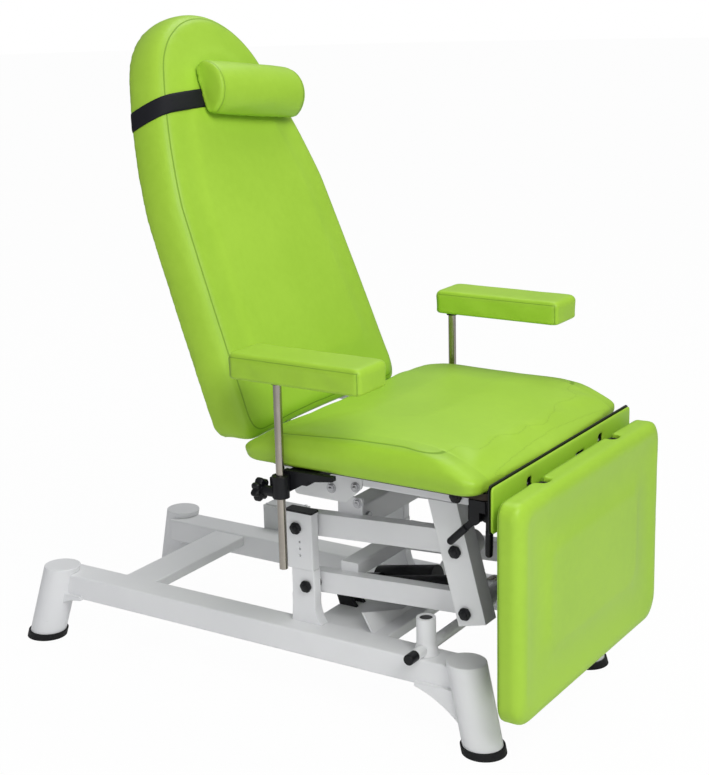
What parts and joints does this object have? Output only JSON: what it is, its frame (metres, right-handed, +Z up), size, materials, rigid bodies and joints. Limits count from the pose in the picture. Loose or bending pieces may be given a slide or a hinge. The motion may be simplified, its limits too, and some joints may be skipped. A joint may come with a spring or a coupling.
{
  "type": "phlebotomy chair",
  "caption": "Height-adjustable blood-drawing chair with reclining backrest, swing-up leg rest, swivel arm rests and a strapped head pillow.",
  "frame": {"origin": "on the floor, under the middle of the whole chair's bounding box", "axes": "+X forward from the backrest to the leg rest, +Y to the sitter's left, +Z up"},
  "size_m": [1.2397, 0.7412, 1.3125],
  "materials": {
    "frame_paint": "white powder coat",
    "vinyl": "lime green vinyl-coated upholstery fabric",
    "black_plastic": "black moulded plastic",
    "black_rubber": "black rubber",
    "black_metal": "black powder coat",
    "stainless": "brushed stainless steel",
    "zinc": "bright zinc plated steel",
    "laminate": "black laminated plywood board",
    "strap": "woven black elastic",
    "grey_plastic": "light grey moulded plastic",
    "back_panel": "black textured panel"
  },
  "bodies": {
    "base": {"base_side_right": "frame_paint", "base_side_left": "frame_paint", "foot_rubbers": "black_rubber", "rear_cross_member": "frame_paint", "middle_cross_plate": "frame_paint", "front_cross_tube": "frame_paint", "front_bosses": "frame_paint", "base_end_caps": "black_plastic", "uprights": "frame_paint", "rear_pivot_bolts": "zinc", "control_box": "grey_plastic", "mains_inlet": "black_plastic", "actuator_clevis": "black_metal"},
    "upper_link_frame": {"upper_links": "frame_paint", "upper_link_tube": "frame_paint", "link_stop_bolts": "zinc"},
    "lower_link_frame": {"lower_links": "frame_paint", "lower_link_tube": "frame_paint"},
    "seat_carrier": {"carrier_tube": "frame_paint", "seat_frame": "frame_paint", "seat_board": "laminate", "seat_cushion": "vinyl", "front_struts": "frame_paint", "front_pivot_bolts": "zinc", "back_hinge_plates": "frame_paint", "leg_hinge_plates": "black_metal", "side_plates": "frame_paint", "side_plate_bolts": "zinc", "front_flap": "vinyl", "flap_trim": "black_plastic", "gas_spring_clevises": "frame_paint", "arm_clamps": "black_metal", "lever_housing": "black_plastic"},
    "backrest": {"backrest_cushion": "vinyl", "backrest_board": "laminate", "backrest_arms": "frame_paint", "backrest_spring_lug": "frame_paint"},
    "pillow": {"head_pillow": "vinyl", "pillow_strap": "strap"},
    "leg_rest": {"leg_hinge_lugs": "black_metal", "leg_rest_cushion": "vinyl", "leg_rest_board": "laminate", "leg_rest_spring_lug": "frame_paint"},
    "post_right": {"arm_post_right": "stainless"},
    "post_left": {"arm_post_left": "stainless"},
    "pad_right": {"arm_plate_right": "black_metal", "arm_pad_right": "vinyl"},
    "pad_left": {"arm_plate_left": "black_metal", "arm_pad_left": "vinyl"},
    "knob_right": {"arm_knob_right": "black_plastic"},
    "knob_left": {"arm_knob_left": "black_plastic"},
    "back_lever": {"backrest_lever": "black_plastic"},
    "leg_lever": {"leg_rest_lever": "black_plastic"},
    "actuator_body": {"actuator_housing": "black_plastic"},
    "actuator_shaft": {"actuator_rod": "stainless"},
    "back_spring_body": {"backrest_spring_cylinder": "black_metal"},
    "back_spring_shaft": {"backrest_spring_rod": "stainless"},
    "leg_spring_body": {"leg_rest_spring_cylinder": "black_metal"},
    "leg_spring_shaft": {"leg_rest_spring_rod": "stainless"}
  },
  "joints": [
    {"name": "lift", "type": "hinge", "parent": "base", "child": "upper_link_frame", "pos_m": [0.07018, 0, 0.346], "axis": [0, -1, 0], "range_deg": [-8, 34]},
    {"name": "lower_link_turn", "type": "hinge", "parent": "base", "child": "lower_link_frame", "pos_m": [0.09018, 0, 0.229], "axis": [0, -1, 0], "range_deg": [-8.5, 34.5]},
    {"name": "seat_level", "type": "hinge", "parent": "upper_link_frame", "child": "seat_carrier", "pos_m": [0.43017, 0, 0.3675], "axis": [0, -1, 0], "range_deg": [-34.5, 8.5]},
    {"name": "recline", "type": "hinge", "parent": "seat_carrier", "child": "backrest", "pos_m": [0.01117, 0, 0.52], "axis": [0, -1, 0], "range_deg": [0, 66]},
    {"name": "pillow_height", "type": "slide", "parent": "backrest", "child": "pillow", "axis": [-0.3649, 0, 0.9311], "range_m": [0, 0.05]},
    {"name": "leg_rest_swing", "type": "hinge", "parent": "seat_carrier", "child": "leg_rest", "pos_m": [0.57617, 0, 0.5], "axis": [0, -1, 0], "range_deg": [0, 80]},
    {"name": "arm_height_right", "type": "slide", "parent": "seat_carrier", "child": "post_right", "axis": [0, 0, 1], "range_m": [-0.06, 0.12]},
    {"name": "arm_swivel_right", "type": "hinge", "parent": "post_right", "child": "pad_right", "pos_m": [0.13617, -0.321, 0.6836], "axis": [0, 0, 1], "range_deg": [-90, 15]},
    {"name": "clamp_knob_turn_right", "type": "hinge", "parent": "seat_carrier", "child": "knob_right", "pos_m": [0.09617, -0.321, 0.469], "axis": [1, 0, 0], "range_deg": [-180, 180]},
    {"name": "arm_height_left", "type": "slide", "parent": "seat_carrier", "child": "post_left", "axis": [0, 0, 1], "range_m": [-0.06, 0.12]},
    {"name": "arm_swivel_left", "type": "hinge", "parent": "post_left", "child": "pad_left", "pos_m": [0.13617, 0.321, 0.6836], "axis": [0, 0, 1], "range_deg": [-15, 90]},
    {"name": "clamp_knob_turn_left", "type": "hinge", "parent": "seat_carrier", "child": "knob_left", "pos_m": [0.09617, 0.321, 0.469], "axis": [1, 0, 0], "range_deg": [-180, 180]},
    {"name": "backrest_lever_pull", "type": "hinge", "parent": "seat_carrier", "child": "back_lever", "pos_m": [0.49517, -0.232, 0.456], "axis": [0, 1, 0], "range_deg": [0, 25], "stiffness_Nm_per_rad": 0.4, "springref_deg": -5.73},
    {"name": "leg_rest_lever_pull", "type": "hinge", "parent": "seat_carrier", "child": "leg_lever", "pos_m": [0.50818, -0.21, 0.456], "axis": [0, -1, 0], "range_deg": [0, 25], "stiffness_Nm_per_rad": 0.4, "springref_deg": -5.73},
    {"name": "actuator_turn", "type": "hinge", "parent": "base", "child": "actuator_body", "pos_m": [0.08317, -0.045, 0.182], "axis": [0, -1, 0], "range_deg": [-8.49, 34.45]},
    {"name": "actuator_stroke", "type": "slide", "parent": "actuator_body", "child": "actuator_shaft", "axis": [0.9806, 0, 0.1961], "range_m": [-0.00799, 0.0307]},
    {"name": "backrest_spring_turn", "type": "hinge", "parent": "seat_carrier", "child": "back_spring_body", "pos_m": [0.16917, -0.06, 0.488], "axis": [0, -1, 0], "range_deg": [-0.5, 5.76]},
    {"name": "backrest_spring_stroke", "type": "slide", "parent": "back_spring_body", "child": "back_spring_shaft", "axis": [-0.9999, 0, 0.0106], "range_m": [-0.04582, 0.001]},
    {"name": "leg_rest_spring_turn", "type": "hinge", "parent": "seat_carrier", "child": "leg_spring_body", "pos_m": [0.40918, 0.06, 0.488], "axis": [0, -1, 0], "range_deg": [-0.5, 8.05]},
    {"name": "leg_rest_spring_stroke", "type": "slide", "parent": "leg_spring_body", "child": "leg_spring_shaft", "axis": [0.9487, 0, -0.3162], "range_m": [-0.001, 0.07936]}
  ],
  "couplings": [
    {"joint": "lower_link_turn", "follows": "lift", "ratio": 1},
    {"joint": "seat_level", "follows": "lift", "ratio": -1},
    {"joint": "actuator_turn", "follows": "lift", "ratio": 0.99845},
    {"joint": "actuator_stroke", "follows": "lift", "m_per_rad": 0.050056},
    {"joint": "backrest_spring_turn", "follows": "recline", "ratio": 0.07963},
    {"joint": "backrest_spring_stroke", "follows": "recline", "m_per_rad": -0.03891},
    {"joint": "leg_rest_spring_turn", "follows": "leg_rest_swing", "ratio": 0.09441},
    {"joint": "leg_rest_spring_stroke", "follows": "leg_rest_swing", "m_per_rad": 0.056121}
  ]
}
